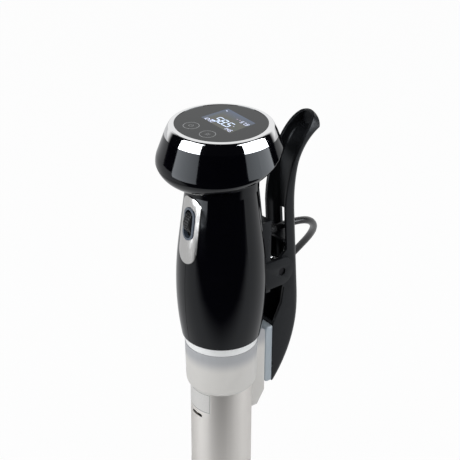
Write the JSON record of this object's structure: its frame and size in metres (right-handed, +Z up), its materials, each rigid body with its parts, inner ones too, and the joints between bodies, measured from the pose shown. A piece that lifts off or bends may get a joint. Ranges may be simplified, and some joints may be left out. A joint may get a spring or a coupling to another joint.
{
  "type": "sous vide circulator",
  "caption": "Hand-held immersion circulator: steel tube with pump and heater, waisted grip with thumb wheel, round head with touch display, sprung rear pot clamp, and mains lead with plug.",
  "frame": {"origin": "centre of the foot cap's flat underside, on the tube's axis", "axes": "+Z up along the tube, -Y to the thumb wheel and the display's reading side, +Y to the clamp"},
  "size_m": [0.1945, 0.1801, 0.4],
  "materials": {
    "tube_steel": "fine lengthwise brushed stainless steel",
    "chrome": "polished",
    "black_gloss": "high gloss black moulding",
    "black_satin": "satin black moulding",
    "frosted": "milky translucent moulding",
    "pad_soft": "soft translucent bluish grey",
    "panel_black": "smooth dark panel",
    "oval_grey": "smoky grey moulding",
    "wheel_black": "knurled black",
    "foot_grey": "dark grey moulding",
    "spring_steel": "bright wire",
    "screw_steel": "plated",
    "seal_rubber": "black seal",
    "nylon": "natural nylon",
    "board": "green circuit board",
    "bronze": "sintered bronze",
    "motor_can": "zinc plated can",
    "cord_black": "black cable sheath",
    "brass": "nickel plated brass"
  },
  "bodies": {
    "housing": {"board_screws": "screw_steel", "body_shell_left": "black_gloss", "body_shell_right": "black_gloss", "bracket_screws": "screw_steel", "bulkhead": "nylon", "bulkhead_seal": "seal_rubber", "buzzer": "panel_black", "capacitor": "motor_can", "chassis": "nylon", "chrome_ring": "chrome", "clamp_bracket": "black_satin", "clamp_collar": "frosted", "control_board": "board", "control_screws": "screw_steel", "cord_coil": "cord_black", "cord_gland": "cord_black", "cord_tie": "foot_grey", "display_module": "panel_black", "display_panel": "panel_black", "foot_cap": "foot_grey", "head_base": "black_gloss", "head_shell": "black_gloss", "heater_element": "tube_steel", "hinge_pin": "spring_steel", "level_rods": "spring_steel", "motor": "motor_can", "motor_plate": "tube_steel", "motor_screws": "screw_steel", "neck_screws": "screw_steel", "outer_tube": "tube_steel", "panel_gasket": "seal_rubber", "plug": "cord_black", "plug_lead": "cord_black", "plug_pins": "brass", "power_board": "board", "power_cord": "cord_black", "relay": "panel_black", "shaft_bearing": "bronze", "shaft_seal": "seal_rubber", "spider": "foot_grey", "spider_bush": "bronze", "temperature_probe": "tube_steel", "torsion_spring": "spring_steel", "touch_springs": "spring_steel", "trim_ring": "chrome", "wheel_bezel": "chrome", "wheel_cradle": "nylon", "wheel_sensor": "board", "wheel_trim": "oval_grey"},
    "lever": {"clamp_lever": "black_satin", "jaw_pad": "pad_soft"},
    "wheel": {"jog_wheel": "wheel_black", "wheel_axle": "spring_steel"},
    "rotor": {"motor_shaft": "spring_steel", "shaft_coupling": "nylon", "drive_shaft": "spring_steel", "impeller": "nylon"}
  },
  "joints": [
    {"name": "lever_hinge", "type": "hinge", "parent": "housing", "child": "lever", "pos_m": [0, 0.0524, 0.2532], "axis": [1, 0, 0], "range_deg": [0, 9], "stiffness_Nm_per_rad": 1.2, "springref_deg": -45.84, "deforming": ["torsion_spring"]},
    {"name": "wheel_spin", "type": "hinge", "parent": "housing", "child": "wheel", "pos_m": [0, -0.026, 0.32], "axis": [1, 0, 0], "continuous": true},
    {"name": "rotor_spin", "type": "hinge", "parent": "housing", "child": "rotor", "pos_m": [0, 0, 0.1], "axis": [0, 0, 1], "continuous": true}
  ]
}
